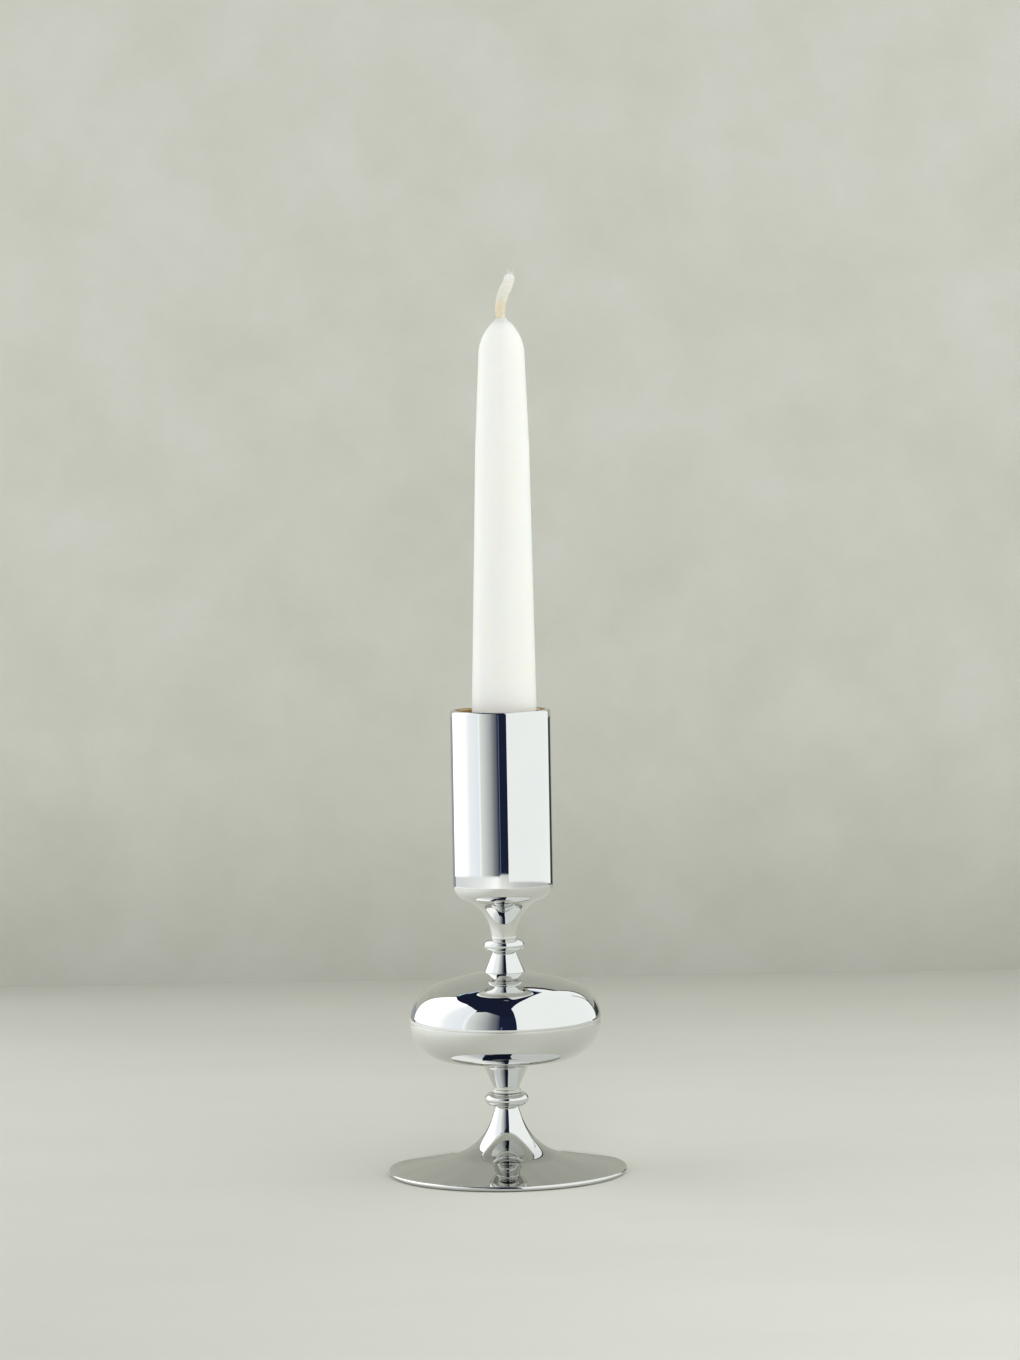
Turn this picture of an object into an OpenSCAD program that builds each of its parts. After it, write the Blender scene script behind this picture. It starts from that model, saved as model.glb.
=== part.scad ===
// Candlestick with a taper candle, built as a stack of turned pieces on one tie rod.
// Millimetres. The origin is on the table, on the axis of the stick. +Z is up.

/* [Foot] */
// Diameter of the foot over its rounded edge
foot_d = 77.8; // [60:0.1:110]
// Height of the foot, from the table to the face under the lower bead
foot_h = 22.1; // [18.2:0.1:30]
// Thickness of the rounded edge
foot_edge_t = 1.5; // [1:0.1:3]
// Height of the underside of the edge above the table
foot_edge_gap = 0.2; // [0.1:0.1:0.6]
// Slope of the flat part of the foot, in degrees
foot_slope = 10.8; // [6:0.1:14]
// Radius of the sweep from the flat part up into the neck
foot_sweep_r = 19; // [12:0.5:24]
// Slope of the neck of the foot away from upright, in degrees
foot_neck_lean = 18.8; // [10:0.1:26]
// Diameter of the top of the foot's neck
foot_neck_d = 7.2; // [6.8:0.1:10]
// Wall of the foot over its hollow underside
foot_wall = 1.3; // [0.8:0.1:1.8]
// Width of the ring under the foot that the felt is glued to
foot_land_w = 6; // [4:0.1:10]
// Thickness of the felt pad
felt_t = 0.8; // [0.5:0.1:1.2]
// How far the felt stays in from the edge of the foot
felt_inset = 2.4; // [1.5:0.1:5]

/* [Beads and stem] */
// Diameter of the lower bead
lower_bead_d = 14.3; // [12:0.1:20]
// Height of the lower bead
lower_bead_h = 4; // [3:0.1:6]
// Height of the collar under the lower stem
collar_h = 1.3; // [0.8:0.1:2]
// Diameter of the collar
collar_d = 9.4; // [8.8:0.1:12]
// Diameter of the lower stem at its waist
stem_waist_d = 8.6; // [7.6:0.1:9.2]
// Height of the straight waist of the lower stem
stem_waist_h = 0.7; // [0.4:0.1:2]
// Diameter of the flange of the lower stem under the bulb
stem_flange_d = 18.8; // [17:0.1:24]
// Height of the lower stem with its collar
stem_h = 10.1; // [8:0.1:12]
// Slope of the lower stem away from upright, in degrees
stem_lean = 23.5; // [15:0.5:26]
// Radius of the sweep from the lower stem into its flange
stem_sweep_r = 3; // [1:0.1:3]
// Diameter of the upper bead
upper_bead_d = 13.2; // [11:0.1:18]
// Height of the upper bead
upper_bead_h = 3.85; // [3:0.05:5.5]

/* [Bulb] */
// Diameter of the bulb
bulb_d = 62.2; // [50:0.1:80]
// Radius of the round side of the bulb
bulb_edge_r = 12.5; // [10:0.1:13]
// Slope of the underside of the bulb, in degrees
bulb_low_slope = 6; // [3:0.5:12]
// Height of the upper half of the bulb, to the pole of its dome
bulb_high_h = 16.25; // [13.5:0.05:20]
// Wall of the two bulb shells
bulb_wall = 1.2; // [0.8:0.1:2]
// Height of the lap between the two shells
bulb_lap_h = 1.6; // [1:0.1:3]
// Outside diameter of the spacer tube in the bulb
spacer_d = 9; // [7.5:0.1:12]

/* [Upper cone and neck] */
// Height of the cone above the bulb
cone_h = 6.9; // [5:0.1:12]
// Diameter of the foot of the cone
cone_base_d = 13.4; // [11:0.1:18]
// Diameter of the top of the cone
cone_top_d = 7.5; // [7.2:0.1:10]
// Diameter of the neck at its waist
neck_waist_d = 8.2; // [7.4:0.1:8.6]
// Height of the straight waist of the neck
neck_waist_h = 0.7; // [0.5:0.1:3]
// Radius of the sweep from the waist of the neck out to the underside of the cup
neck_sweep_r = 13; // [10:0.5:14]

/* [Cup] */
// Outside diameter of the cup
cup_d = 32.7; // [31.8:0.1:44]
// Height of the cup
cup_h = 61.9; // [50:0.1:90]
// Slope of the underside of the cup, in degrees
cup_slope = 22.5; // [20:0.5:30]
// Radius of the round bottom corner of the cup
cup_corner_r = 5.5; // [3:0.1:6.6]
// Radius of the round edges of the rim
rim_r = 0.8; // [0.3:0.1:0.8]
// Wall of the cup at its mouth
cup_wall = 2.2; // [1.7:0.1:2.6]
// Thickness of the floor of the cup at its middle
cup_floor_t = 3.3; // [2.5:0.1:5]
// Radius of the round corner inside the cup
cup_well_r = 3; // [1:0.1:4]

/* [Socket liner] */
// Depth of the liner's flange below the rim
liner_drop = 2.5; // [1.5:0.1:4]
// Width of the ledge in the cup under the flange
ledge_w = 0.6; // [0.4:0.1:1]
// Inside diameter of the liner
liner_bore_d = 24.4; // [24:0.1:25]
// Wall and floor of the liner
liner_wall = 0.8; // [0.6:0.1:1]
// Depth of the liner's floor below the rim
liner_depth = 28.3; // [20:0.1:40]

/* [Tie rod and fasteners] */
// Diameter of the tie rod
rod_d = 5; // [4:0.1:5]
// How far the rod stands out of each nut
rod_out = 1; // [0.5:0.1:2]
// Width of the nuts across their flats
nut_af = 8; // [7:0.1:8.5]
// Height of the nuts
nut_h = 4; // [3:0.1:4.2]
// Diameter of the plain washers
washer_d = 10; // [9:0.1:11]
// Thickness of the plain washers
washer_t = 1; // [0.6:0.1:1.2]
// Diameter of the split washer
lock_d = 9.2; // [8:0.1:10]
// Thickness of the split washer
lock_t = 1.2; // [0.8:0.1:1.4]

/* [Candle] */
// Length of the wax
candle_h = 154; // [80:1:260]
// Diameter of the candle at the rim of the cup
candle_d = 20.9; // [18:0.1:21.5]
// Diameter of the candle where it starts to narrow faster
candle_mid_d = 17.4; // [15:0.1:18]
// Length of that faster narrowing, below the round tip
candle_mid_h = 29; // [10:1:40]
// Diameter of the candle where its round tip starts
candle_tip_d = 14.9; // [12:0.1:15]
// Radius of the side of the round tip
candle_tip_r = 15.1; // [9:0.1:16]
// Candle's shift off the axis of the stick, at its foot
candle_shift = 1.1; // [0:0.1:1.2]
// Candle's lean, in degrees
candle_lean = 0.55; // [0:0.05:0.6]
// Diameter of the wick
wick_d = 3.2; // [1.8:0.1:3.6]
// Scale of the wick's curl above the wax
wick_curl = 1; // [0.6:0.1:1.4]

/* [Fits] */
// Gap between the rod and the pieces that it passes through, on the radius
rod_fit = 0.2; // [0.1:0.05:0.3]
// Gap between a piece and the hollow that it drops into, on the radius
drop_fit = 0.15; // [0.1:0.05:0.25]
// Gap in the lap between the two bulb shells, on the radius
lap_fit = 0.05; // [0.02:0.01:0.1]
// Gap between the wick and its hole in the wax, on the radius
wick_fit = 0.05; // [0.02:0.01:0.2]
// Gap under the candle
candle_fit = 0.2; // [0.1:0.05:0.5]

/* [Hidden] */
$fn = 96;

// Colours
chrome = "gainsboro";
steel = "darkgray";
brass = "goldenrod";
iron = "dimgray";
felt = "darkslategray";
ivory = "ivory";
cotton = "linen";

// Room past a face, so that a cut never ends on it
over = 1;

// ---- Geometry helpers. In an outline, x is the radius and y is the height. ----

// Unit vector of v
function unit(v) = v / norm(v);
// Half of the angle at b between a and c
function half(a, b, c) = acos(unit(a - b) * unit(c - b)) / 2;
// Centre of the circle of radius r that touches both edges at b
function centre(a, b, c, r) = b + unit(unit(a - b) + unit(c - b)) * r / sin(half(a, b, c));
// Distance from b at which that circle touches the edges
function reach(a, b, c, r) = r / tan(half(a, b, c));
// Point at radius x on a line through p that rises by ang
function at_x(p, ang, x) = [x, p[1] + (x - p[0]) * tan(ang)];
// Radius, at height z, of a line through p that leans by ang away from upright
function lean_x(p, ang, z) = p[0] + (z - p[1]) * tan(ang);
// Where a line through p that leans by ang meets a line through q that rises by rise
function meet(p, ang, q, rise) =
    at_x(q, rise, (lean_x(p, ang, q[1]) - q[0] * tan(rise) * tan(ang)) / (1 - tan(rise) * tan(ang)));
// Radius of a dome of height h that runs smoothly into a side circle of radius r, centred at radius e
function dome(e, h, r) = (e * e + h * h - r * r) / (2 * (h - r));
// How far a dome of radius big falls away from its pole at radius x
function sag(big, x) = big - sqrt(big * big - x * x);
// Where the underside of the bulb, set in by gap, leaves the round side. Depth is taken as height.
function under_start(gap) =
    [bulb_e, 0] + (bulb_edge_r - gap) * [sin(bulb_low_slope), cos(bulb_low_slope)];
// Depth of that underside below the bulb's widest line at radius x
function under(gap, x) = at_x(under_start(gap), -bulb_low_slope, x)[1];

// The two points where that circle touches the edges
function ends(a, b, c, r) = [b + reach(a, b, c, r) * unit(a - b), b + reach(a, b, c, r) * unit(c - b)];

// What a round of radius r takes off the outer corner at b
module corner_cut(a, b, c, r) {
    o = centre(a, b, c, r);
    difference() {
        polygon(concat([b + over * unit(b - o)], ends(a, b, c, r)));
        translate(o) circle(r);
    }
}

// What a cove of radius r takes off an outline that runs straight between the ends at b
module cove_cut(a, b, c, r) {
    translate(centre(a, b, c, r)) circle(r);
}

// A box between two radii and two heights
module band(r0, r1, z0, z1) {
    translate([r0, z0]) square([r1 - r0, z1 - z0]);
}

// A turned solid
module turned(tint) {
    color(tint) rotate_extrude() children();
}

// A turned solid with the bore for the tie rod
module bored(tint) {
    turned(tint) difference() {
        children();
        band(-bore_r, bore_r, -over, z_rim);
    }
}

// Round-edged ring of diameter d and height h with its lower face at z
module bead(d, h, z) {
    r = h / 2;
    mid_r = d / 2 - r;
    bored(chrome) {
        band(0, mid_r, z, z + h);
        translate([mid_r, z + r]) circle(r);
    }
}

// ---- Levels of the stack, from the table up ----

bore_r = rod_d / 2 + rod_fit;
flange_r = stem_flange_d / 2;
cone_r = cone_base_d / 2;
bulb_e = bulb_d / 2 - bulb_edge_r;
bulb_dome_r = dome(bulb_e, bulb_high_h, bulb_edge_r);
low_flat = under(0, flange_r);
high_flat = bulb_high_h - sag(bulb_dome_r, cone_r);

z_stem = foot_h + lower_bead_h;
z_bulb = z_stem + stem_h;
z_seam = z_bulb + low_flat;
z_cone = z_seam + high_flat;
z_bead = z_cone + cone_h;
z_neck = z_bead + upper_bead_h;
z_cup = z_neck + neck_waist_h + neck_sweep_r * cos(cup_slope);
z_rim = z_cup + cup_h;

// ---- Foot ----

felt_r = foot_d / 2 - felt_inset;
land_r = felt_r - foot_land_w;
edge_r = foot_edge_t / 2;
edge_c = [foot_d / 2 - edge_r, foot_edge_gap + edge_r];
up_slope = [sin(foot_slope), cos(foot_slope)];
foot_tip = edge_c + edge_r * up_slope;
foot_top = [foot_neck_d / 2, foot_h];
foot_bend = meet(foot_top, -foot_neck_lean, foot_tip, -foot_slope);
ceiling = foot_tip - foot_wall * up_slope;

// The web of the foot, with room below it for the washers, the nut and the end of the rod
rod_foot = felt_t + drop_fit;
nut_1_z = rod_foot + rod_out;
lock_z = nut_1_z + nut_h;
washer_1_z = lock_z + lock_t;
web_z = washer_1_z + washer_t;
nut_corner_r = nut_af / 2 / cos(30);
pocket_r = max(washer_d / 2, lock_d / 2, nut_corner_r) + 2 * drop_fit;

module felt_pad() {
    turned(felt) band(0, felt_r, 0, felt_t);
}

module foot() {
    bored(chrome) difference() {
        union() {
            polygon(concat([[0, foot_edge_gap], [edge_c[0], foot_edge_gap], foot_tip],
                ends(foot_tip, foot_bend, foot_top, foot_sweep_r), [foot_top, [0, foot_h]]));
            translate(edge_c) circle(edge_r);
        }
        cove_cut(foot_tip, foot_bend, foot_top, foot_sweep_r);
        band(-over, felt_r + drop_fit, -over, felt_t);
        polygon([[-over, 0], [land_r, 0], at_x(ceiling, -foot_slope, land_r),
            at_x(ceiling, -foot_slope, pocket_r), [pocket_r, web_z], [-over, web_z]]);
    }
}

// Ballast that follows the ceiling of the hollow foot and leaves the nut free
module foot_weight() {
    top = ceiling - [0, drop_fit / cos(foot_slope)];
    r0 = pocket_r + drop_fit;
    r1 = land_r - drop_fit;
    turned(iron) polygon([[r0, felt_t], [r1, felt_t], at_x(top, -foot_slope, r1), at_x(top, -foot_slope, r0)]);
}

// ---- Fasteners ----

// Plain washer with its lower face at z
module washer(z) {
    turned(steel) band(bore_r, washer_d / 2, z, z + washer_t);
}

// Hexagon nut with bevelled corners and its lower face at z
module hex_nut(z) {
    flat_r = nut_af / 2;
    bevel = (nut_corner_r - flat_r) / 2;
    color(steel) translate([0, 0, z]) difference() {
        intersection() {
            cylinder(r = nut_corner_r, h = nut_h, $fn = 6);
            rotate_extrude() polygon([[0, 0], [flat_r, 0], [nut_corner_r, bevel],
                [nut_corner_r, nut_h - bevel], [flat_r, nut_h], [0, nut_h]]);
        }
        translate([0, 0, -over]) cylinder(d = rod_d, h = nut_h + 2 * over);
    }
}

module foot_washer() {
    washer(washer_1_z);
}

// Split ring
module lock_washer() {
    split_w = 1;
    color(steel) difference() {
        rotate_extrude() band(bore_r, lock_d / 2, lock_z, lock_z + lock_t);
        translate([0, -split_w / 2, lock_z - over]) cube([lock_d, split_w, lock_t + 2 * over]);
    }
}

module foot_nut() {
    hex_nut(nut_1_z);
}

module tie_rod() {
    bevel = 0.5;
    r = rod_d / 2;
    turned(steel) polygon([[0, rod_foot], [r - bevel, rod_foot], [r, rod_foot + bevel], [r, rod_top - bevel],
        [r - bevel, rod_top], [0, rod_top]]);
}

// ---- Lower bead and stem ----

module lower_bead() {
    bead(lower_bead_d, lower_bead_h, foot_h);
}

collar_round = 0.4;
flange_edge = 0.3;
flange_slope = 8;

module lower_stem() {
    collar_r = collar_d / 2;
    collar_z = z_stem + collar_h;
    waist = [stem_waist_d / 2, collar_z];
    waist_top = waist + [0, stem_waist_h];
    flange = [flange_r, z_bulb - flange_edge];
    bend = meet(waist_top, stem_lean, flange, flange_slope);
    bored(chrome) {
        difference() {
            band(0, collar_r, z_stem, collar_z);
            corner_cut([0, collar_z], [collar_r, collar_z], [collar_r, z_stem], collar_round);
            corner_cut([0, z_stem], [collar_r, z_stem], [collar_r, collar_z], collar_round);
        }
        difference() {
            polygon(concat([[0, collar_z], waist, waist_top], ends(waist_top, bend, flange, stem_sweep_r),
                [flange, [flange_r, z_bulb], [0, z_bulb]]));
            cove_cut(waist_top, bend, flange, stem_sweep_r);
        }
    }
}

// ---- Bulb ----

dome_fn = 720;

// Outline of the bulb above its widest line, set in by gap, up to height top
module upper_half(gap, top) {
    pole = [0, bulb_high_h - bulb_dome_r];
    far = bulb_dome_r + bulb_d;
    intersection() {
        band(0, bulb_d, 0, top);
        union() {
            intersection() {
                translate(pole) circle(bulb_dome_r - gap, $fn = dome_fn);
                polygon([pole, [0, bulb_high_h + over], pole + far * unit([bulb_e, 0] - pole)]);
            }
            translate([bulb_e, 0]) circle(bulb_edge_r - gap);
        }
    }
}

// The same below its widest line, turned upside down
module lower_half(gap, top) {
    intersection() {
        band(0, bulb_d, 0, top);
        union() {
            polygon([[0, 0], [0, under(gap, 0)], under_start(gap), [bulb_e, 0]]);
            translate([bulb_e, 0]) circle(bulb_edge_r - gap);
        }
    }
}

// The inner half of the wall, which the lower shell has as a lip and the upper shell lacks
module lap(gap, h) {
    difference() {
        upper_half(bulb_wall / 2 + gap, h);
        upper_half(bulb_wall, h);
    }
}

module bulb_lower_shell() {
    bored(chrome) translate([0, z_seam]) {
        mirror([0, 1]) difference() {
            lower_half(0, low_flat);
            lower_half(bulb_wall, low_flat - bulb_wall);
        }
        lap(lap_fit, bulb_lap_h);
    }
}

module bulb_upper_shell() {
    bored(chrome) translate([0, z_seam]) difference() {
        upper_half(0, high_flat);
        upper_half(bulb_wall, high_flat - bulb_wall);
        lap(0, bulb_lap_h + lap_fit);
    }
}

module bulb_spacer() {
    turned(steel) band(bore_r, spacer_d / 2, z_bulb + bulb_wall, z_cone - bulb_wall);
}

// ---- Cone, upper bead and neck ----

module upper_cone() {
    bored(chrome) polygon([[0, z_cone], [cone_r, z_cone], [cone_top_d / 2, z_bead], [0, z_bead]]);
}

module upper_bead() {
    bead(upper_bead_d, upper_bead_h, z_bead);
}

// Where the sweep of the neck runs out into the slope under the cup
seat = [neck_waist_d / 2 + neck_sweep_r * (1 - sin(cup_slope)), z_cup];

module neck() {
    r = neck_waist_d / 2;
    waist_z = z_neck + neck_waist_h;
    bored(chrome) difference() {
        polygon([[0, z_neck], [r, z_neck], [r, waist_z], seat, [0, z_cup]]);
        translate([r + neck_sweep_r, waist_z]) circle(neck_sweep_r);
    }
}

// ---- Cup and what is in it ----

mouth_r = cup_d / 2 - cup_wall;
well_r = mouth_r - ledge_w;
ledge_z = z_rim - liner_drop - liner_wall;
cup_floor_z = z_cup + cup_floor_t;
nut_2_z = cup_floor_z + washer_t;
rod_top = nut_2_z + nut_h + rod_out;

module cup() {
    r = cup_d / 2;
    corner = at_x(seat, cup_slope, r);
    bored(chrome) difference() {
        polygon([[0, z_cup], seat, corner, [r, z_rim], [0, z_rim]]);
        corner_cut(seat, corner, [r, z_rim], cup_corner_r);
        corner_cut([r, z_cup], [r, z_rim], [0, z_rim], rim_r);
        corner_cut([mouth_r, z_cup], [mouth_r, z_rim], [r, z_rim], rim_r);
        band(-over, mouth_r, ledge_z, z_rim + over);
        difference() {
            band(-over, well_r, cup_floor_z, z_rim);
            corner_cut([0, cup_floor_z], [well_r, cup_floor_z], [well_r, z_rim], cup_well_r);
        }
    }
}

module cup_washer() {
    washer(cup_floor_z);
}

module cup_nut() {
    hex_nut(nut_2_z);
}

socket_z = z_rim - liner_depth;
liner_round = 1.2;

module candle_socket() {
    r0 = liner_bore_d / 2;
    r1 = r0 + liner_wall;
    low = socket_z - liner_wall;
    turned(brass) difference() {
        union() {
            band(0, mouth_r - drop_fit, ledge_z, ledge_z + liner_wall);
            difference() {
                band(0, r1, low, ledge_z);
                corner_cut([0, low], [r1, low], [r1, ledge_z], liner_round);
            }
        }
        band(-over, r0, socket_z, z_rim);
    }
}

// ---- Candle ----

candle_z = socket_z + candle_fit;
candle_in = z_rim - candle_z;
wax_top_r = wick_d / 2 + 0.3;
tip_r = candle_tip_d / 2;
tip_h = sqrt(pow(candle_tip_r, 2) - pow(candle_tip_r - tip_r + wax_top_r, 2));
tip_z = candle_h - tip_h;
foot_bevel = 1;
wick_floor = 3;

// Everything on the candle's own axis, with its foot at height 0
module on_candle() {
    translate([candle_shift, 0, candle_z]) rotate([0, candle_lean, 0]) children();
}

module candle_wax() {
    r = candle_d / 2;
    on_candle() turned(ivory) difference() {
        union() {
            polygon([[0, 0], [r - foot_bevel, 0], [r, foot_bevel], [r, candle_in],
                [candle_mid_d / 2, tip_z - candle_mid_h], [tip_r, tip_z], [0, tip_z]]);
            intersection() {
                translate([tip_r - candle_tip_r, tip_z]) circle(candle_tip_r);
                band(0, tip_r, tip_z, candle_h);
            }
        }
        band(-over, wick_d / 2 + wick_fit, wick_floor, candle_h + over);
    }
}

// Route of the wick above the wax, as steps from the middle of the candle's top
curl = [[0, 0, 0], [-0.3, 0, 1.6], [-0.35, 0, 3.2], [-0.15, 0, 4.8], [0.15, 0, 6.4], [0.6, -0.1, 8],
    [1.3, -0.1, 9.6], [2.1, -0.2, 11.2], [2.6, -0.2, 12.8], [2.85, -0.1, 14.6]];
route = concat([[0, 0, wick_floor]], [for (p = curl) p * wick_curl + [0, 0, candle_h]]);
wick_sides = 10;

// Direction of the route at point i
function heading(i) = unit(route[min(i + 1, len(route) - 1)] - route[max(i - 1, 0)]);
// Ring of the wick's surface round point i
function ring(i) = let (d = heading(i), u = unit(cross([0, 1, 0], d)), v = cross(d, u))
    [for (k = [0:wick_sides - 1]) let (a = 360 * k / wick_sides)
        route[i] + wick_d / 2 * (cos(a) * u + sin(a) * v)];

module wick() {
    n = wick_sides;
    last = (len(route) - 1) * n;
    on_candle() color(cotton) polyhedron(
        points = [for (i = [0:len(route) - 1]) each ring(i)],
        faces = concat(
            [[for (k = [0:n - 1]) k]],
            [for (i = [0:len(route) - 2], k = [0:n - 1])
                [i * n + k, (i + 1) * n + k, (i + 1) * n + (k + 1) % n, i * n + (k + 1) % n]],
            [[for (k = [n - 1:-1:0]) last + k]]));
}

felt_pad();
foot_weight();
foot();
foot_washer();
lock_washer();
foot_nut();
tie_rod();
lower_bead();
lower_stem();
bulb_lower_shell();
bulb_upper_shell();
bulb_spacer();
upper_cone();
upper_bead();
neck();
cup();
cup_washer();
cup_nut();
candle_socket();
candle_wax();
wick();
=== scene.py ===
"""Chromed candlestick with a taper candle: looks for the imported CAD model. Metres, +Z up."""
import math

import bpy
import numpy as np
from mathutils import Matrix, Vector

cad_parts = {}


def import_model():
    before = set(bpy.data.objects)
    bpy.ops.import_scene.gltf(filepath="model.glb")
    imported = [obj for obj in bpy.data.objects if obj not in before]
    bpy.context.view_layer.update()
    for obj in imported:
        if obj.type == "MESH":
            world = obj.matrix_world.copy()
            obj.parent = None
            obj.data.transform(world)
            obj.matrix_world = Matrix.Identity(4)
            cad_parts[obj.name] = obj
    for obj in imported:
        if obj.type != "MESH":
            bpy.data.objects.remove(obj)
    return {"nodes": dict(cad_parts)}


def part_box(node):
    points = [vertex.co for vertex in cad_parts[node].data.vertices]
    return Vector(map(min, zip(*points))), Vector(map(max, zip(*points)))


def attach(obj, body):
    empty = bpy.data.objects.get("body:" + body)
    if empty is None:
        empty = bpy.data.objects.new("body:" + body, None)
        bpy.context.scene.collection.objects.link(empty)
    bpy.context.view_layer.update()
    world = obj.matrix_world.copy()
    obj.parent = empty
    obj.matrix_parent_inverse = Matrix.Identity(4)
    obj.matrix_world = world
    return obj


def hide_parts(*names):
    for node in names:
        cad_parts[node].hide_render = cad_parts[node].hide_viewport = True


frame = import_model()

MM = 0.001
AXIAL = Matrix.Identity(4)
nodes = frame["nodes"]
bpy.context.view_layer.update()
rng = np.random.default_rng(7)


# ---------------------------------------------------------------- camera
CAMERA_PITCH = math.radians(3.2233)
CAMERA_ROLL = math.radians(-1.0)
CAMERA_AT = (0.0034, -1.430, 0.241)


def make_camera():
    cam = bpy.data.cameras.new("camera")
    cam.lens = 117.1
    cam.sensor_width = 36
    cam.clip_start, cam.clip_end = 0.05, 30
    obj = bpy.data.objects.new("camera", cam)
    bpy.context.scene.collection.objects.link(obj)
    aim = Matrix.Rotation(math.pi / 2 - CAMERA_PITCH, 4, "X") @ Matrix.Rotation(CAMERA_ROLL, 4, "Z")
    obj.matrix_world = Matrix.Translation(CAMERA_AT) @ aim
    bpy.context.scene.camera = obj


make_camera()
bpy.context.scene.view_settings.view_transform = "Standard"


# ---------------------------------------------------------------- material helpers
class Shade:
    """A node material with short calls for its nodes."""

    def __init__(self, name):
        self.mat = bpy.data.materials.new(name)
        self.mat.use_nodes = True
        self.tree = self.mat.node_tree
        self.tree.nodes.clear()
        self.out = self.node("ShaderNodeOutputMaterial")
        self.place = None

    def node(self, kind, **values):
        n = self.tree.nodes.new(kind)
        for key, value in values.items():
            if key in n.bl_rna.properties:
                setattr(n, key, value)
            else:
                n.inputs[key.replace("_", " ")].default_value = value
        return n

    def link(self, a, b):
        self.tree.links.new(a, b)

    def surface(self, **values):
        bsdf = self.node("ShaderNodeBsdfPrincipled")
        for key, value in values.items():
            bsdf.inputs[key.replace("_", " ")].default_value = value
        self.link(bsdf.outputs[0], self.out.inputs["Surface"])
        return bsdf

    def where(self):
        """Place on the object, in metres."""
        if self.place is None:
            self.place = self.node("ShaderNodeTexCoord").outputs["Object"]
        return self.place

    def math(self, op, a, b=None):
        n = self.node("ShaderNodeMath", operation=op)
        for k, v in enumerate((a, b)):
            if v is None:
                continue
            if isinstance(v, (int, float)):
                n.inputs[k].default_value = v
            else:
                self.link(v, n.inputs[k])
        return n.outputs[0]

    def scaled(self, vector, size):
        n = self.node("ShaderNodeVectorMath", operation="MULTIPLY")
        self.link(vector, n.inputs[0])
        n.inputs[1].default_value = size
        return n.outputs[0]

    def noise(self, vector, scale, detail=2.0, rough=0.5):
        n = self.node("ShaderNodeTexNoise")
        n.inputs["Scale"].default_value = scale
        n.inputs["Detail"].default_value = detail
        n.inputs["Roughness"].default_value = rough
        self.link(vector, n.inputs["Vector"])
        return n.outputs[0]

    def spread(self, value, low, high, to_low, to_high):
        n = self.node("ShaderNodeMapRange")
        for k, v in zip(("From Min", "From Max", "To Min", "To Max"), (low, high, to_low, to_high)):
            n.inputs[k].default_value = v
        self.link(value, n.inputs["Value"])
        return n.outputs[0]

    def ramp(self, value, stops):
        n = self.node("ShaderNodeValToRGB")
        points = n.color_ramp.elements
        while len(points) < len(stops):
            points.new(0.5)
        for p, (at, colour) in zip(points, stops):
            p.position = at
            p.color = (*colour, 1)
        self.link(value, n.inputs[0])
        return n.outputs[0]

    def turned_place(self, along, around):
        """Coordinates on a turned piece: radius and height scaled by along, and the angle by around."""
        split = self.node("ShaderNodeSeparateXYZ")
        self.link(self.where(), split.inputs[0])
        x, y, z = split.outputs
        radius = self.math("SQRT", self.math("ADD", self.math("MULTIPLY", x, x), self.math("MULTIPLY", y, y)))
        angle = self.math("ARCTAN2", y, x)
        join = self.node("ShaderNodeCombineXYZ")
        self.link(self.math("MULTIPLY", radius, along), join.inputs[0])
        self.link(self.math("MULTIPLY", z, along), join.inputs[1])
        self.link(self.math("MULTIPLY", angle, around), join.inputs[2])
        return join.outputs[0]

    def bump(self, bsdf, height, distance):
        n = self.node("ShaderNodeBump")
        n.inputs["Distance"].default_value = distance
        n.inputs["Strength"].default_value = 1.0
        self.link(height, n.inputs["Height"])
        self.link(n.outputs[0], bsdf.inputs["Normal"])


def dimmed(s, colour, value):
    """The colour times the value, which may be a colour too."""
    mix = s.node("ShaderNodeMix", data_type="RGBA", blend_type="MULTIPLY")
    mix.inputs["Factor"].default_value = 1.0
    s.link(colour, mix.inputs["A"])
    s.link(value, mix.inputs["B"])
    return mix.outputs["Result"]


def chrome_material(name="chrome", shade_band=None):
    """Polished chrome. Between two given heights the colour is darker: painted shade, standing in for a
    dimmer reflection.
    """
    s = Shade(name)
    bsdf = s.surface(Metallic=1.0)
    smudge = s.noise(s.where(), 45, 4, 0.6)
    rubbed = s.noise(s.turned_place(9000, 2.0), 1.0, 2, 0.5)
    rough = s.math("ADD", s.spread(smudge, 0.35, 0.75, 0.004, 0.022), s.spread(rubbed, 0.3, 0.7, 0.0, 0.006))
    s.link(rough, bsdf.inputs["Roughness"])
    tint = s.ramp(smudge, [(0.3, (0.725, 0.730, 0.712)), (0.7, (0.700, 0.706, 0.690))])
    # painted shade: the chrome's colour is darkened between the two heights
    if shade_band:
        split = s.node("ShaderNodeSeparateXYZ")
        s.link(s.where(), split.inputs[0])
        z = split.outputs[2]
        low, high = shade_band
        face = s.math("MULTIPLY", s.spread(z, low, low + 0.4 * MM, 0, 1),
                      s.spread(z, high, high + 4 * MM, 1, 0))
        tint = dimmed(s, tint, s.spread(face, 0, 1, 1.0, 0.83))
    s.link(tint, bsdf.inputs["Base Color"])
    s.bump(bsdf, rubbed, 0.0000003)
    return s.mat


def steel_material():
    s = Shade("steel")
    bsdf = s.surface(Metallic=1.0)
    grain = s.noise(s.where(), 900, 3, 0.6)
    lines = s.noise(s.turned_place(6000, 1.5), 1.0, 2)
    s.link(s.ramp(grain, [(0.3, (0.50, 0.51, 0.54)), (0.7, (0.62, 0.62, 0.60))]), bsdf.inputs["Base Color"])
    s.link(s.spread(grain, 0.3, 0.7, 0.24, 0.4), bsdf.inputs["Roughness"])
    s.bump(bsdf, lines, 0.000008)
    return s.mat


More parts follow.
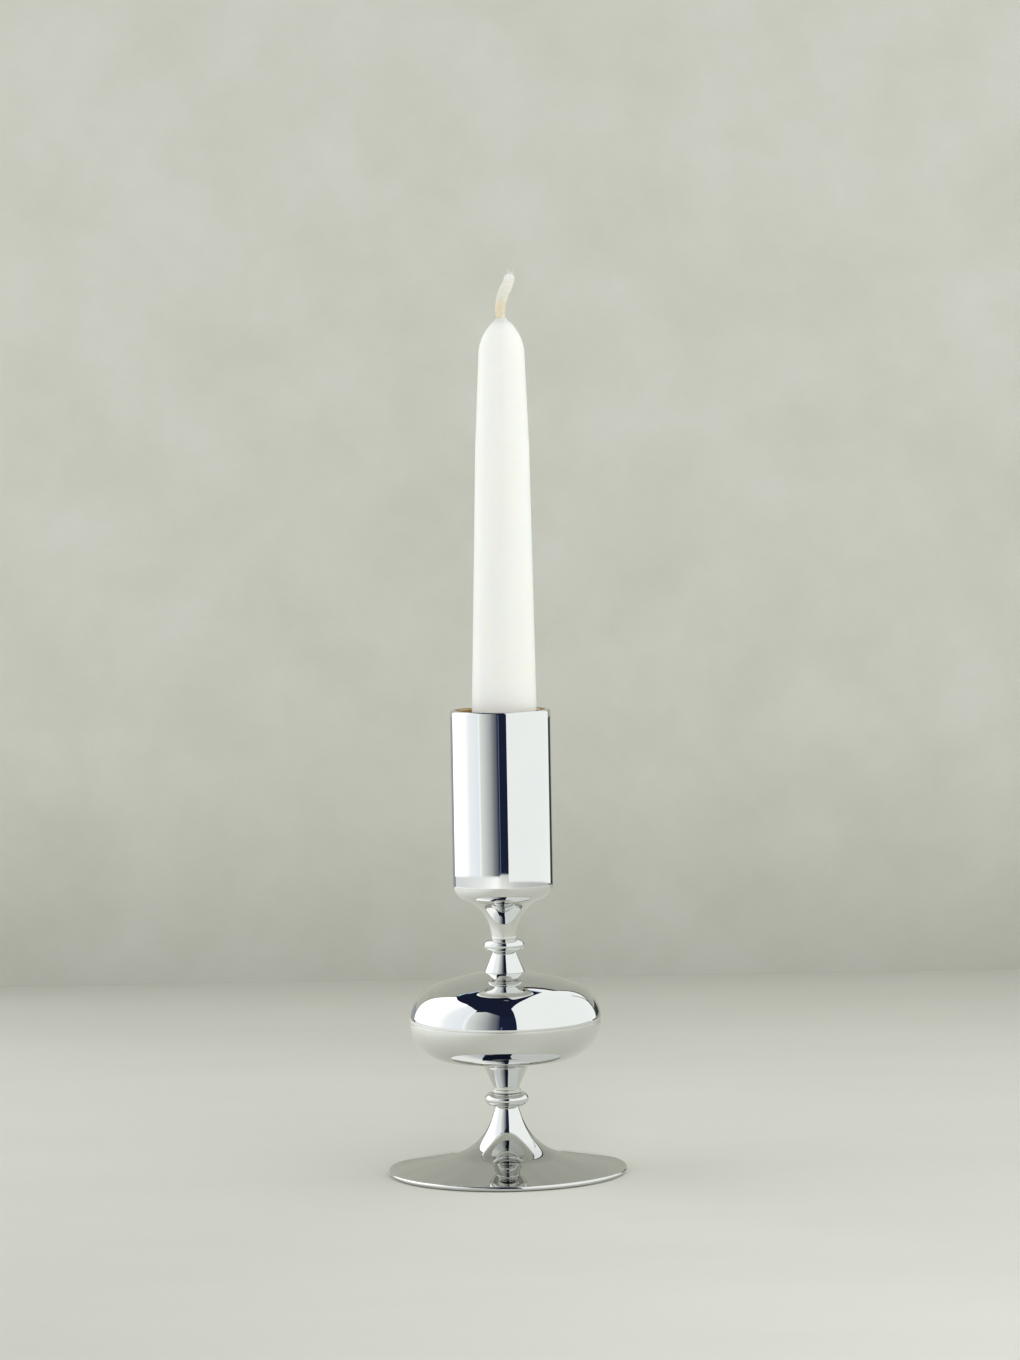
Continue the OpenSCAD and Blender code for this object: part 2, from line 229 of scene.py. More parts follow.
def brass_material():
    s = Shade("brass")
    bsdf = s.surface(Metallic=1.0)
    patch = s.noise(s.where(), 160, 4, 0.65)
    lines = s.noise(s.turned_place(5000, 1.0), 1.0, 2)
    s.link(s.ramp(patch, [(0.35, (0.30, 0.20, 0.08)), (0.65, (0.52, 0.37, 0.16))]), bsdf.inputs["Base Color"])
    s.link(s.spread(patch, 0.3, 0.7, 0.22, 0.42), bsdf.inputs["Roughness"])
    s.bump(bsdf, lines, 0.00001)
    return s.mat


def iron_material():
    s = Shade("iron")
    bsdf = s.surface(Metallic=0.6)
    sand = s.noise(s.where(), 1400, 4, 0.7)
    s.link(s.ramp(sand, [(0.3, (0.07, 0.07, 0.075)), (0.7, (0.19, 0.18, 0.17))]), bsdf.inputs["Base Color"])
    s.link(s.spread(sand, 0.3, 0.7, 0.55, 0.85), bsdf.inputs["Roughness"])
    s.bump(bsdf, sand, 0.00008)
    return s.mat


def felt_material():
    s = Shade("felt")
    bsdf = s.surface(Roughness=0.95, Sheen_Weight=0.35, Sheen_Roughness=0.5)
    fibre = s.noise(s.scaled(s.where(), (1.0, 3.5, 1.0)), 1500, 3, 0.7)
    cross = s.noise(s.scaled(s.where(), (3.5, 1.0, 1.0)), 1300, 3, 0.7)
    nap = s.math("MAXIMUM", fibre, cross)
    colour = s.ramp(nap, [(0.4, (0.018, 0.021, 0.019)), (0.75, (0.060, 0.066, 0.060))])
    s.link(colour, bsdf.inputs["Base Color"])
    s.bump(bsdf, nap, 0.00015)
    return s.mat


def wax_material():
    s = Shade("wax")
    bsdf = s.surface(Subsurface_Weight=0.6, Subsurface_Scale=0.004, Subsurface_Radius=(1.0, 0.85, 0.6),
                     IOR=1.44, Coat_Weight=0.06, Coat_Roughness=0.25)
    cloud = s.noise(s.scaled(s.where(), (1.0, 1.0, 0.25)), 110, 3, 0.5)
    dips = s.noise(s.scaled(s.where(), (1.0, 1.0, 0.35)), 260, 3, 0.55)
    pores = s.noise(s.where(), 1500, 2, 0.5)
    colour = s.ramp(cloud, [(0.3, (0.955, 0.945, 0.865)), (0.7, (0.975, 0.970, 0.905))])
    s.link(colour, bsdf.inputs["Base Color"])
    s.link(s.spread(dips, 0.3, 0.7, 0.36, 0.50), bsdf.inputs["Roughness"])
    s.bump(bsdf, s.math("ADD", dips, s.math("MULTIPLY", pores, 0.06)), 0.00012)
    return s.mat


def cotton_material(foot_z):
    """Waxed cotton: pale strands, amber near foot_z where the wax has soaked in."""
    s = Shade("cotton")
    bsdf = s.surface(Roughness=0.75, Sheen_Weight=0.25, Subsurface_Weight=0.4, Subsurface_Scale=0.001,
                     Subsurface_Radius=(1.0, 0.7, 0.4))
    split = s.node("ShaderNodeSeparateXYZ")
    s.link(s.where(), split.inputs[0])
    fibre = s.noise(s.scaled(s.where(), (1.0, 1.0, 0.3)), 5200, 3, 0.6)
    stain = s.ramp(s.spread(split.outputs[2], foot_z, foot_z + 15 * MM, 0, 1),
                   [(0.0, (0.90, 0.88, 0.78)), (0.22, (0.87, 0.78, 0.60)), (0.42, (0.86, 0.76, 0.57)),
                    (0.62, (0.86, 0.84, 0.74)), (1.0, (0.93, 0.92, 0.88))])
    strand = s.ramp(fibre, [(0.3, (0.80, 0.79, 0.76)), (0.6, (1.0, 1.0, 1.0))])
    s.link(dimmed(s, stain, strand), bsdf.inputs["Base Color"])
    s.bump(bsdf, fibre, 0.00006)
    return s.mat


# ---------------------------------------------------------------- mesh helpers
def add_mesh(name, points, faces, material, body=None, replaced=(), sharp=math.radians(35)):
    mesh = bpy.data.meshes.new(name)
    mesh.from_pydata([tuple(p) for p in points], [], [tuple(int(i) for i in f) for f in faces])
    mesh.validate()
    mesh.update()
    mesh.polygons.foreach_set("use_smooth", [True] * len(mesh.polygons))
    mesh.set_sharp_from_angle(angle=sharp)
    mesh.materials.append(material)
    obj = bpy.data.objects.new(name, mesh)
    bpy.context.scene.collection.objects.link(obj)
    if body:
        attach(obj, body)
    if replaced:
        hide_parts(*replaced)
    return obj


def seam_steps(node, placed):
    """Edges of a turned node's mesh on its half-plane y = 0, x >= 0, with the outline's direction at
    both ends."""
    mesh = nodes[node].data
    back = np.array(placed.inverted())
    co = np.empty(len(mesh.vertices) * 3)
    mesh.vertices.foreach_get("co", co)
    co = co.reshape(-1, 3) @ back[:3, :3].T + back[:3, 3]
    normal = np.empty(len(mesh.loops) * 3)
    mesh.corner_normals.foreach_get("vector", normal)
    normal = normal.reshape(-1, 3) @ back[:3, :3].T
    on = (np.abs(co[:, 1]) < 2e-7) & (co[:, 0] > -1e-7)
    steps = {}
    for face in mesh.polygons:
        ring = list(face.loop_indices)
        for la, lb in zip(ring, ring[1:] + ring[:1]):
            a, b = mesh.loops[la].vertex_index, mesh.loops[lb].vertex_index
            if not (on[a] and on[b]):
                continue
            pa, pb = (tuple(np.round(co[i][[0, 2]], 7)) for i in (a, b))
            if pa == pb or frozenset((pa, pb)) in steps:
                continue
            run = np.subtract(pb, pa)
            ends = []
            for corner in (la, lb):
                n = normal[corner][[0, 2]]
                along = np.array([-n[1], n[0]])
                size = np.linalg.norm(along)
                along = run / np.linalg.norm(run) if size < 0.5 else along / size
                ends.append(along * np.sign(along @ run))
            steps[frozenset((pa, pb))] = (pa, pb, ends[0], ends[1])
    return list(steps.values())


def chain(steps):
    """The steps in order, as [(start, end, direction at start, direction at end)]. Flat faces, which
    have no edge on the half-plane, close the outline between two points at the same height."""
    left = list(steps)
    loop = [left.pop(0)]
    while left:
        tail = np.array(loop[-1][1])
        best = min(range(len(left) * 2), key=lambda k: gap(tail, left[k // 2][k % 2]))
        a, b, ta, tb = left.pop(best // 2)
        if best % 2:
            a, b, ta, tb = b, a, -tb, -ta
        if np.linalg.norm(tail - a) > 1e-6:
            run = (np.array(a) - tail) / np.linalg.norm(np.array(a) - tail)
            loop.append((tuple(tail), a, run, run))
        loop.append((a, b, ta, tb))
    first, last = np.array(loop[0][0]), np.array(loop[-1][1])
    if np.linalg.norm(first - last) > 1e-6 and abs(first[1] - last[1]) < 1e-6:
        run = (first - last) / np.linalg.norm(first - last)
        loop.append((tuple(last), tuple(first), run, run))
    return loop


def gap(tail, point):
    """How far the next step starts from the last. A change in height counts most."""
    d = np.abs(np.subtract(point, tail))
    return d[0] + 1000 * d[1]


def between(a, b):
    """Angle between two unit vectors."""
    return math.acos(max(-1, min(1, float(a @ b))))


def outline(node, placed=AXIAL, edge=0.12 * MM):
    """Smooth closed outline of a turned node, (radius, height) in metres, with each sharp corner eased
    by edge. Where two steps join smoothly they share one direction, and a straight step keeps its own."""
    loop = chain(seam_steps(node, placed))
    count = len(loop)
    straight = [between(p[2], p[3]) < math.radians(0.3) for p in loop]
    for k in range(count):
        n = (k + 1) % count
        a, b = loop[k], loop[n]
        if between(a[3], b[2]) > math.radians(8):
            continue
        shared = (a[3] + b[2]) / np.linalg.norm(a[3] + b[2])
        if straight[n]:
            shared = b[2]
        if straight[k]:
            shared = a[3]
        loop[k] = (*a[:3], shared)
        loop[n] = (*b[:2], b[2] if straight[n] else shared, b[3])
    points = []
    for k in range(count):
        a, b, ta, tb = loop[k]
        a, b = np.array(a), np.array(b)
        size = np.linalg.norm(b - a)
        before = loop[k - 1]
        corner = between(before[3], ta)
        if corner > math.radians(15):
            ease = edge * math.tan(corner / 2)
            ease_out = min(ease, 0.35 * size)
            ease_in = min(ease, 0.35 * np.linalg.norm(np.subtract(before[1], before[0])))
            p0, p2 = a - before[3] * ease_in, a + ta * ease_out
            for t in (0.0, 0.25, 0.5, 0.75, 1.0):
                points.append((1 - t) ** 2 * p0 + 2 * t * (1 - t) * a + t * t * p2)
        else:
            points.append(a)
        bend = between(ta, tb)
        pieces = max(1, math.ceil(math.degrees(bend) / 2.5), math.ceil(size / (6 * MM)))
        for j in range(1, pieces):
            t = j / pieces
            points.append((2 * t**3 - 3 * t**2 + 1) * a + (t**3 - 2 * t**2 + t) * size * ta
                          + (3 * t**2 - 2 * t**3) * b + (t**3 - t**2) * size * tb)
    return np.array(points)


def turn(name, profile, material, body, replaced, sides=192, placed=AXIAL, shape=None):
    """A turned mesh from a closed (radius, height) outline. Points on the axis become one pole each."""
    profile = [p for k, p in enumerate(profile) if np.linalg.norm(p - profile[k - 1]) > 1e-8]
    rings, points, faces = [], [], []
    angle = np.arange(sides) * 2 * math.pi / sides
    for r, z in profile:
        start = len(points)
        if r < 1e-7:
            points.append((0.0, 0.0, z))
            rings.append([start] * sides)
        else:
            row = np.stack([r * np.cos(angle), r * np.sin(angle), np.full(sides, z)], 1)
            points.extend(row if shape is None else shape(row))
            rings.append(list(range(start, start + sides)))
    pairs = [(profile[k - 1], profile[k]) for k in range(len(profile))]
    outward = sum(a[0] * b[1] - b[0] * a[1] for a, b in pairs) > 0
    for k in range(len(rings)):
        low, high = (rings[k - 1], rings[k]) if outward else (rings[k], rings[k - 1])
        for i in range(sides):
            j = (i + 1) % sides
            face = []
            for v in (low[i], low[j], high[j], high[i]):
                if v not in face:
                    face.append(v)
            if len(face) > 2:
                faces.append(face)
    m = np.array(placed)
    points = np.array(points) @ m[:3, :3].T + m[:3, 3]
    return add_mesh(name, points, faces, material, body, replaced)


# ---------------------------------------------------------------- metal
# heights of the band of painted shade on the foot's face, a darker colour standing in for a dimmer reflection
FOOT_SHADE_BAND = (1.5 * MM, 7 * MM)
chrome, steel, brass, iron = chrome_material(), steel_material(), brass_material(), iron_material()
turn("foot_turned", outline("foot"), chrome_material("chrome_foot", FOOT_SHADE_BAND), "candlestick",
     ("foot",), sides=256)
for node in ("lower_bead", "lower_stem", "bulb_lower_shell", "bulb_upper_shell", "upper_cone",
             "upper_bead", "neck"):
    turn(node + "_turned", outline(node), chrome, "candlestick", (node,),
         sides=256 if node.startswith("bulb") else 192)


def cup():
    """Chromed outside, bare brass inside."""
    obj = turn("cup_turned", outline("cup"), chrome, "candlestick", ("cup",))
    obj.data.materials.append(brass)
    low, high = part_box("cup")
    floor_z, mouth_r = low.z + 3 * MM, high.x - 1.6 * MM
    for face in obj.data.polygons:
        r = math.hypot(face.center.x, face.center.y)
        if face.center.z > floor_z and r < mouth_r:
            face.material_index = 1


cup()

turn("candle_socket_spun", outline("candle_socket"), brass, "candlestick", ("candle_socket",))
for node, material in (("foot_washer", steel), ("lock_washer", steel), ("foot_nut", steel),
                       ("tie_rod", steel), ("bulb_spacer", steel), ("cup_washer", steel),
                       ("cup_nut", steel), ("foot_weight", iron)):
    nodes[node].data.materials.clear()
    nodes[node].data.materials.append(material)


# ---------------------------------------------------------------- felt
def felt_pad():
    low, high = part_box("felt_pad")
    radius, top = high.x, high.z
    soft = 0.25 * MM
    profile = np.array([(0, 0), (radius * 0.5, 0), (radius - soft, 0), (radius - 0.3 * soft, 0.3 * soft),
                        (radius, soft), (radius, top - soft), (radius - soft, top), (radius * 0.5, top),
                        (0, top)])
    sides = 320
    fuzz = np.convolve(np.tile(rng.normal(0, 1, sides), 3), [0.25, 0.5, 0.25], "same")[sides:2 * sides]

    def shape(row):
        out = row.copy()
        if row[0, 0] > radius * 0.9:
            out[:, :2] *= (1 + 0.0016 * np.clip(fuzz, -2, 0.4) - 0.0007)[:, None]
        return out

    turn("felt_pad_pressed", profile, felt_material(), "candlestick", ("felt_pad",),
         sides=sides, shape=shape)


felt_pad()

# ---------------------------------------------------------------- candle
CANDLE_LEAN = math.radians(0.55)
CANDLE_SHIFT = 1.1 * MM
CANDLE_H = 154 * MM
LINER_DEPTH = 28.3 * MM
SEAT_GAP = 0.2 * MM
WICK_FLOOR = 3 * MM
candle_foot_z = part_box("cup")[1].z - (LINER_DEPTH - SEAT_GAP)
candle_place = Matrix.Translation((CANDLE_SHIFT, 0, candle_foot_z)) @ Matrix.Rotation(CANDLE_LEAN, 4, "Y")


def on_candle(points):
    """The candle's own coordinates moved to where it stands."""
    m = np.array(candle_place)
    return np.array(points) @ m[:3, :3].T + m[:3, 3]


def candle():
    profile = outline("candle_wax", candle_place, edge=0.5 * MM)
    # the wax climbs a little up the wick
    profile = [p for p in profile if not (p[0] < 2.4 * MM and p[1] > CANDLE_H - 1.2 * MM)]
    drop = [(1.62, -0.6), (1.62, 0.25), (1.68, 0.36), (1.76, 0.30), (1.90, 0.02), (2.15, -0.32), (2.5, -0.68)]
    ends = [k for k in range(len(profile)) if abs(profile[k][1] - CANDLE_H) < 8 * MM]
    outer = max(ends, key=lambda k: profile[k][1])
    ring = [np.array((r * MM, CANDLE_H + z * MM)) for r, z in drop]
    nxt, prv = profile[(outer + 1) % len(profile)], profile[outer - 1]
    ring = ring if prv[0] < nxt[0] else ring[::-1]
    at = outer if prv[0] < nxt[0] else outer + 1
    profile = profile[:at] + ring + profile[at:]

    wave = rng.uniform(0, 2 * math.pi, 6)

    def shape(row):
        z = row[0, 2]
        angle = np.arctan2(row[:, 1], row[:, 0])
        if np.hypot(row[0, 0], row[0, 1]) < 2.6 * MM:
            return row
        s = z / CANDLE_H
        oval = (0.0022 * np.cos(2 * angle + wave[0] + 2.2 * s) + 0.0016 * np.cos(3 * angle + wave[1] - 4 * s)
                + 0.0012 * np.cos(angle + wave[2] + 9 * s) + 0.0008 * np.cos(5 * angle + wave[3] + 14 * s))
        out = row.copy()
        out[:, :2] *= (1 + oval)[:, None]
        return out

    turn("candle_taper", profile, wax_material(), "candle", ("candle_wax",), sides=160,
         placed=candle_place, shape=shape)


def spline(points, per):
    """Catmull-Rom points through the given ones."""
    p = np.array(points, float)
    p = np.vstack([2 * p[0] - p[1], p, 2 * p[-1] - p[-2]])
    out = []
    for k in range(1, len(p) - 2):
        for t in np.arange(per) / per:
            out.append(0.5 * (2 * p[k] + (p[k + 1] - p[k - 1]) * t
                              + (2 * p[k - 1] - 5 * p[k] + 4 * p[k + 1] - p[k + 2]) * t * t
                              + (3 * p[k] - p[k - 1] - 3 * p[k + 1] + p[k + 2]) * t**3))
    out.append(p[-2])
    return np.array(out)


def tube(path, section):
    """Closed tube mesh round a path; section(k, angles) gives the radii across and deep at point k."""
    sides = 64
    angle = np.arange(sides) * 2 * math.pi / sides
    points, faces = [], []
    for k in range(len(path)):
        along = path[min(k + 1, len(path) - 1)] - path[max(k - 1, 0)]
        along = along / np.linalg.norm(along)
        across = np.cross((0, 1, 0), along)
        across /= np.linalg.norm(across)
        deep = np.cross(along, across)
        wide, thick = section(k, angle)
        points.extend(path[k] + np.outer(wide * np.cos(angle), across)
                      + np.outer(thick * np.sin(angle), deep))
    for k in range(len(path) - 1):
        for i in range(sides):
            j = (i + 1) % sides
            faces.append((k * sides + i, k * sides + j, (k + 1) * sides + j, (k + 1) * sides + i))
    last = (len(path) - 1) * sides
    points.extend([path[0], path[-1]])
    for i in range(sides):
        j = (i + 1) % sides
        faces.append((j, i, len(points) - 2))
        faces.append((last + i, last + j, len(points) - 1))
    return points, faces


CURL = [(0, 0, 0), (-0.3, 0, 1.6), (-0.35, 0, 3.2), (-0.15, 0, 4.8), (0.15, 0, 6.4), (0.6, -0.1, 8),
        (1.3, -0.1, 9.6), (2.1, -0.2, 11.2), (2.6, -0.2, 12.8), (2.85, -0.1, 14.6)]


def wick():
    top = [np.array(p) * MM + (0, 0, CANDLE_H) for p in CURL]
    bottom = [np.array((0, 0, z)) for z in np.linspace(WICK_FLOOR, CANDLE_H - 2 * MM, 12)]
    path = np.vstack([bottom, spline([bottom[-1], *top], 14)])
    run = np.concatenate([[0], np.cumsum(np.linalg.norm(np.diff(path, axis=0), axis=1))])
    end = run[-1]
    pitch, strands = 3.4 * MM, 4

    def section(k, angle):
        up = run[k] - (CANDLE_H - WICK_FLOOR)
        left = end - run[k]
        size = np.interp(up, [-1 * MM, 1 * MM, 4 * MM, 10 * MM, 15 * MM], [1.5, 1.42, 1.62, 1.85, 1.6]) * MM
        size *= min(1.0, 0.55 + left / (1.6 * MM))
        if up < -3 * MM:
            return size, size
        one = strands * angle / (2 * math.pi) + run[k] / pitch
        two = strands * angle / (2 * math.pi) - run[k] / pitch
        ridge = [np.sqrt(np.clip(1 - (2 * (p % 1) - 1) ** 2, 0, 1)) for p in (one, two)]
        over = 0.5 + 0.5 * np.cos(math.pi * (np.floor(one) + np.floor(two)))
        braid = np.maximum(ridge[0] * (0.72 + 0.28 * over), ridge[1] * (1.0 - 0.28 * over))
        wide = size * (0.84 + 0.18 * braid)
        return wide, wide * 0.8

    points, faces = tube(path, section)
    foot_z = float(on_candle([path[len(bottom)]])[0][2])
    cotton = cotton_material(foot_z)
    add_mesh("wick_braid", on_candle(points), faces, cotton, "candle", ("wick",),
             sharp=math.radians(80))

    # loose fibres at the cut end and a few along the sides
    points, faces = [], []
    tip, before = path[-1], path[-8]
    along = (tip - before) / np.linalg.norm(tip - before)
    for n in range(34):
        a = rng.uniform(0, 2 * math.pi)
        out = np.array([math.cos(a), 0.8 * math.sin(a), 0]) * rng.uniform(0.15, 1.0)
        if n < 22:
            root = tip + out * 1.1 * MM - along * 0.9 * MM
            length, lean = rng.uniform(1.1, 2.6) * MM, 0.35
        else:
            k = len(path) - int(rng.integers(10, 110))
            out /= np.linalg.norm(out)
            root = path[k] + out * 1.25 * MM
            length, lean = rng.uniform(0.5, 1.1) * MM, 1.1
        bend = rng.normal(0, 0.35, 3)
        hair = [root + length * t * (along + out * lean * t + bend * t * t * 0.6)
                for t in np.linspace(0, 1, 7)]
        thick = rng.uniform(0.045, 0.075) * MM
        start, sides = len(points), 6
        for k, p in enumerate(hair):
            r = thick * (1 - 0.5 * k / 6)
            for s in range(sides):
                b = 2 * math.pi * s / sides
                points.append(p + r * np.array([math.cos(b), math.sin(b), 0]))
        for k in range(len(hair) - 1):
            for s in range(sides):
                t = (s + 1) % sides
                i = start + k * sides
                faces.append((i + s, i + t, i + sides + t, i + sides + s))
        faces.append([start + s for s in range(sides)][::-1])
        faces.append([start + (len(hair) - 1) * sides + s for s in range(sides)])
    add_mesh("wick_fray", on_candle(points), faces, cotton, "candle")


candle()
wick()


# ---------------------------------------------------------------- stage and light
def stage_mesh(name, points, faces, material, see=True):
    obj = add_mesh(name, points, faces, material)
    obj.visible_camera = see
    return obj


def pale_material(name, low, high, scale, stretch):
    s = Shade(name)
    bsdf = s.surface(Roughness=0.75)
    bsdf.inputs["Specular IOR Level"].default_value = 0.15
    blotch = s.noise(s.scaled(s.where(), stretch), scale, 4, 0.6)
    return s, bsdf, s.ramp(blotch, [(0.3, low), (0.7, high)])


def either(s, factor, a, b):
    mix = s.node("ShaderNodeMixShader")
    s.link(factor, mix.inputs[0])
    s.link(a, mix.inputs[1])
    s.link(b, mix.inputs[2])
    return mix.outputs[0]


def glow_material(name, stops, strength):
    """Light from the front only, changing with the bearing round the object: stops are (degrees right
    of the front, colour)."""
    s = Shade(name)
    split = s.node("ShaderNodeSeparateXYZ")
    s.link(s.where(), split.inputs[0])
    bearing = s.math("ARCTAN2", split.outputs[0], s.math("MULTIPLY", split.outputs[1], -1.0))
    value = s.spread(bearing, -math.pi, math.pi, 0, 1)
    glow = s.node("ShaderNodeEmission")
    glow.inputs["Strength"].default_value = strength
    s.link(s.ramp(value, [((d + 180) / 360, c) for d, c in stops]), glow.inputs["Color"])
    back = s.node("ShaderNodeBsdfDiffuse")
    back.inputs["Color"].default_value = (0.02, 0.02, 0.02, 1)
    behind = s.node("ShaderNodeNewGeometry").outputs["Backfacing"]
    s.link(either(s, behind, glow.outputs[0], back.outputs[0]), s.out.inputs["Surface"])
    return s.mat


def curtain(name, edge, radius, low, material):
    """Part of a drum round the object. The edge is (bearing, top) in degrees and metres."""
    points, faces = [], []
    for k, (d, high) in enumerate(edge):
        a = math.radians(d)
        for z in (low, high):
            points.append((radius * math.sin(a), -radius * math.cos(a), z))
        if k:
            faces.append((2 * k - 2, 2 * k - 1, 2 * k + 1, 2 * k))
    return stage_mesh(name, points, faces, material, see=False)


def steps(edge, count):
    at = np.linspace(edge[0][0], edge[-1][0], count)
    return list(zip(at, np.interp(at, *zip(*edge))))


WHITE = (0.97, 1.0, 1.0)
PANEL_GLOW = 1.17
PANEL_R = 0.64
PANEL_TOP = 1.0
WALL_Y = 0.511
WALL_TOP = 0.60


def floor():
    s, bsdf, colour = pale_material("floor", (0.705, 0.700, 0.625), (0.745, 0.740, 0.668), 9,
                                    (0.35, 1.0, 1.0))
    split = s.node("ShaderNodeSeparateXYZ")
    s.link(s.where(), split.inputs[0])
    x, y = split.outputs[0], split.outputs[1]
    # painted shade: the floor's colour darkens towards the wall
    s.link(dimmed(s, colour, s.spread(y, 0.22, WALL_Y, 1.0, 0.84)), bsdf.inputs["Base Color"])
    # seen in reflections, the floor also glows beyond the panels and on the left
    away = s.math("SQRT", s.math("ADD", s.math("MULTIPLY", x, x), s.math("MULTIPLY", y, y)))
    near = s.spread(x, -0.20, -0.04, 0.34, 0.0)
    far = s.math("MULTIPLY", s.spread(away, 0.50, 0.64, 0.0, 0.50), s.spread(x, -0.5, -0.1, 1.15, 1.0))
    glow = s.node("ShaderNodeEmission")
    glow.inputs["Color"].default_value = (0.96, 0.99, 1.0, 1)
    shiny = s.node("ShaderNodeLightPath").outputs["Is Glossy Ray"]
    s.link(s.math("MULTIPLY", shiny, s.math("ADD", near, far)), glow.inputs["Strength"])
    both = s.node("ShaderNodeAddShader")
    s.link(bsdf.outputs[0], both.inputs[0])
    s.link(glow.outputs[0], both.inputs[1])
    s.link(both.outputs[0], s.out.inputs["Surface"])
    stage_mesh("floor", [(-5, -5, 0), (5, -5, 0), (5, 5, 0), (-5, 5, 0)], [(0, 1, 2, 3)], s.mat)


def wall():
    """Pale wall. Seen in reflections, it is darker and also shows the edge and the face of a softbox
    that leans over it."""
    s, bsdf, colour = pale_material("wall", (0.605, 0.603, 0.530), (0.662, 0.664, 0.600), 22, (1.0, 1.0, 1.0))
    split = s.node("ShaderNodeSeparateXYZ")
    s.link(s.where(), split.inputs[0])
    x, z = split.outputs[0], split.outputs[2]
    path = s.node("ShaderNodeLightPath")
    shiny = path.outputs["Is Glossy Ray"]
    lean = s.math("ADD", z, s.math("MULTIPLY", x, 0.957))
    edge = s.math("MULTIPLY", shiny, s.math("GREATER_THAN", lean, 0.612))
    face = s.math("MULTIPLY", shiny, s.math("GREATER_THAN", lean, 0.655))
    # painted shade: the wall's colour darkens near the floor, for every ray
    low = s.spread(z, 0.0, 0.09, 0.86, 1.0)
    dark = s.math("ADD", s.spread(z, 0.1, 0.4, 0.02, 0.18), s.spread(x, -0.1, 0.4, 0.0, 0.14))
    far = s.math("SUBTRACT", 1.0, s.math("MULTIPLY", shiny, dark))
    clear_of_edge = s.math("SUBTRACT", 1.0, s.math("MULTIPLY", edge, 0.96))
    value = s.math("MULTIPLY", s.math("MULTIPLY", low, far), clear_of_edge)
    s.link(dimmed(s, colour, value), bsdf.inputs["Base Color"])
    glow = s.node("ShaderNodeEmission")
    glow.inputs["Color"].default_value = (*WHITE, 1)
    glow.inputs["Strength"].default_value = PANEL_GLOW
    lit = either(s, face, bsdf.outputs[0], glow.outputs[0])
    clear = s.node("ShaderNodeBsdfTransparent")
    back = s.node("ShaderNodeNewGeometry").outputs["Backfacing"]
    unseen = s.math("MULTIPLY", back, path.outputs["Is Camera Ray"])
    s.link(either(s, unseen, lit, clear.outputs[0]), s.out.inputs["Surface"])
    y, top = WALL_Y, WALL_TOP
    stage_mesh("wall", [(-0.47, y, 0), (0.8, y, 0), (0.8, y, top), (-0.18, y, top), (-0.33, y, 0.77),
                        (-0.47, y, 0.86)], [(0, 1, 2, 3, 4, 5)], s.mat)


def even_glow(name, colour, strength=1.0):
    return glow_material(name, [(0, colour), (180, colour)], strength)


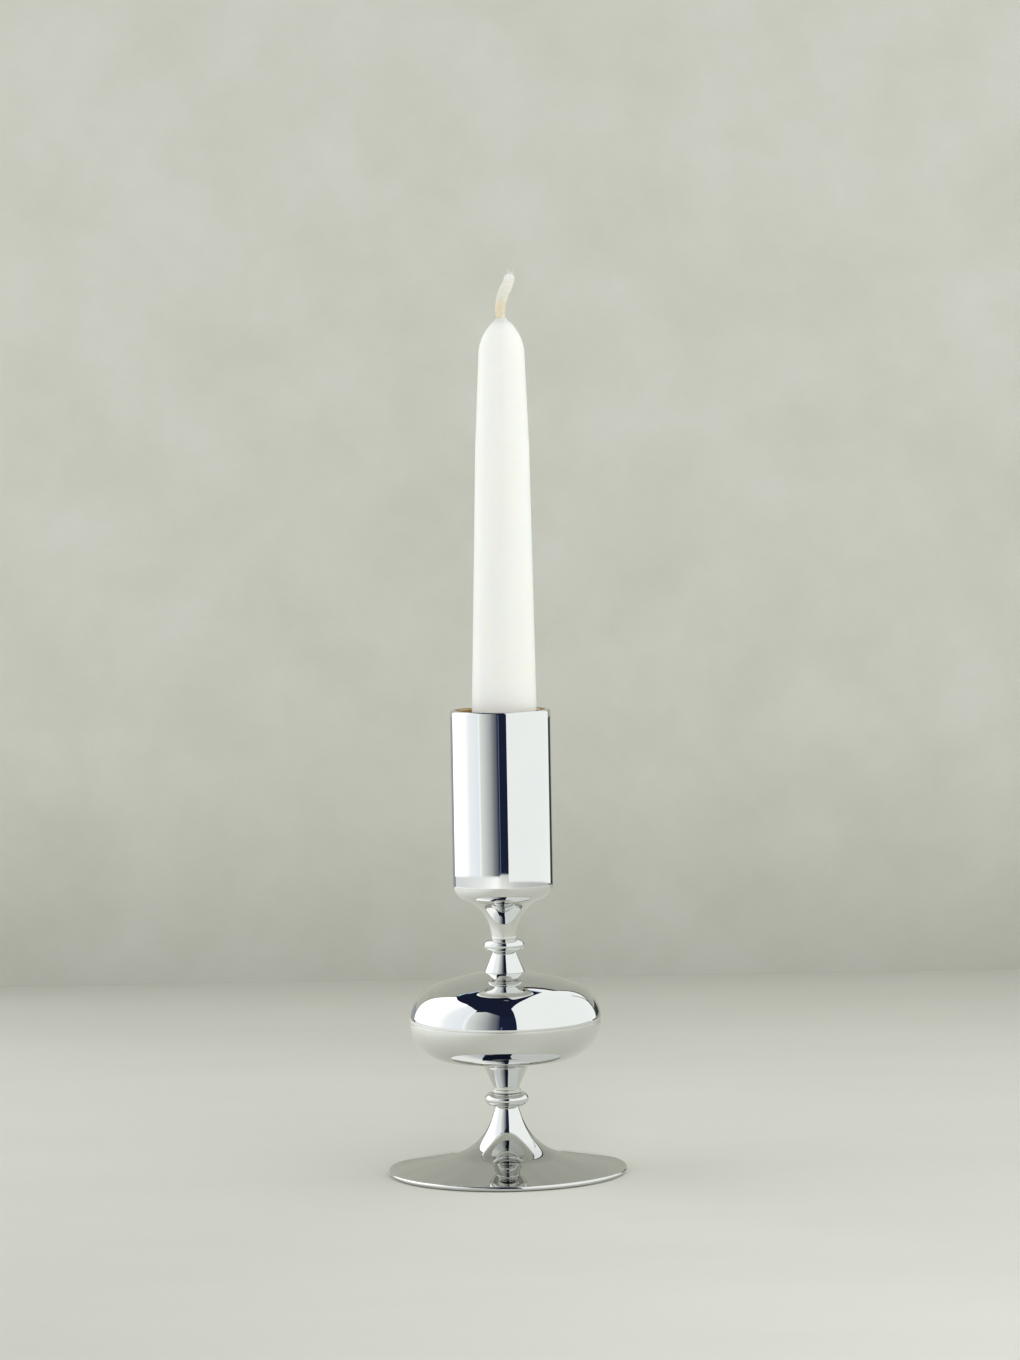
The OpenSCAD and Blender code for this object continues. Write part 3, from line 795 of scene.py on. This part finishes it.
def panels():
    right = even_glow("panel_right", WHITE, PANEL_GLOW)
    curtain("panel_right", steps([(13.3, PANEL_TOP), (138.5, PANEL_TOP)], 32), PANEL_R, 0.026, right)
    over = [(0.104, -0.47), (0.143, -0.207), (0.22, 0.196), (0.256, 0.67), (0.277, 0.96), (0.9, 0.96),
            (0.9, -0.65), (0.15, -0.65)]
    stage_mesh("panel_over", [(x, y, PANEL_TOP) for x, y in over], [range(len(over))], right, see=False)
    y, top = WALL_Y, WALL_TOP
    stage_mesh("panel_back", [(0.155, y, top), (0.9, y, top), (0.9, y, 1.05), (0.26, y, 1.05),
                              (0.20, y, 0.784)], [(0, 1, 2, 3, 4)], right, see=False)
    shades = [(-141, (1.0, 1.0, 1.0)), (-103, (1.0, 1.0, 1.0)), (-76, (0.66, 0.68, 0.71)),
              (-53, (0.60, 0.64, 0.68)), (-50, (0.72, 0.75, 0.75)), (-47, (0.52, 0.55, 0.54)),
              (-38, (0.44, 0.46, 0.455)), (-24, (0.27, 0.29, 0.29)), (-17, (0.15, 0.16, 0.17)),
              (-11, (0.085, 0.095, 0.12)), (-7, (0.02, 0.02, 0.04))]
    left = glow_material("panel_left", shades, 1.75)
    curtain("panel_left", steps([(-141, 0.85), (-92, 1.21), (-70, 1.13), (-48.5, 0.90)], 24)
            + steps([(-48, 0.77), (-31, 0.88), (-11, 0.66), (-7, 0.6)], 12), PANEL_R, 0.032, left)
    strip = even_glow("panel_strip", (0.25, 0.33, 0.55), 0.55)
    curtain("panel_strip", [(-5.6, 0.15), (-3.9, 0.15)], 0.66, 0.03, strip)
    y -= 0.002
    line = even_glow("panel_line", (0.55, 0.80, 1.0), 1.1)
    stage_mesh("panel_line", [(-0.33, y, 0.77), (-0.18, y, top), (0.15, y, top), (0.15, y, 0.617),
                              (-0.172, y, 0.617), (-0.318, y, 0.783)], [(0, 1, 2, 3, 4, 5)], line,
               see=False)


def gaps():
    """Dark gaps between the panels, which show only in reflections."""
    for name, start, end, radius, high, colour in (
            ("gap_right", 138.7, 156, 0.55, 0.115, (0.05, 0.05, 0.06)),
            ("gap_edge", 138.7, 140.5, 0.54, 0.45, (0.20, 0.21, 0.19)),
            ("gap_left", -158, -141.5, 0.55, 0.115, (0.36, 0.38, 0.42)),
            ("gap_front", -8, 14, 0.68, 0.60, (0.013, 0.019, 0.048))):
        strip = curtain(name, steps([(start, high), (end, high)], 8), radius, 0.03, even_glow(name, colour))
        strip.visible_diffuse = strip.visible_shadow = strip.visible_transmission = False


def fill():
    """Soft light from the front, left out of reflections."""
    light = bpy.data.lights.new("fill", "AREA")
    light.shape, light.size = "DISK", 0.6
    light.energy = 4.6
    light.color = (1.0, 0.99, 0.965)
    obj = bpy.data.objects.new("fill", light)
    bpy.context.scene.collection.objects.link(obj)
    at = Vector((-0.12, -0.85, 0.62))
    aim = Vector((0, 0, 0.16)) - at
    obj.matrix_world = Matrix.Translation(at) @ aim.to_track_quat("-Z", "Y").to_matrix().to_4x4()
    obj.visible_glossy = obj.visible_camera = False


def world():
    sky = bpy.data.worlds.new("world")
    bpy.context.scene.world = sky
    sky.use_nodes = True
    tree = sky.node_tree
    tree.nodes.clear()
    pale, dark = tree.nodes.new("ShaderNodeBackground"), tree.nodes.new("ShaderNodeBackground")
    pale.inputs[0].default_value = (0.58, 0.59, 0.52, 1)
    dark.inputs[0].default_value = (0.011, 0.015, 0.038, 1)
    mix, out = tree.nodes.new("ShaderNodeMixShader"), tree.nodes.new("ShaderNodeOutputWorld")
    tree.links.new(tree.nodes.new("ShaderNodeLightPath").outputs["Is Camera Ray"], mix.inputs[0])
    tree.links.new(dark.outputs[0], mix.inputs[1])
    tree.links.new(pale.outputs[0], mix.inputs[2])
    tree.links.new(mix.outputs[0], out.inputs[0])


floor()
wall()
panels()
gaps()
fill()
world()
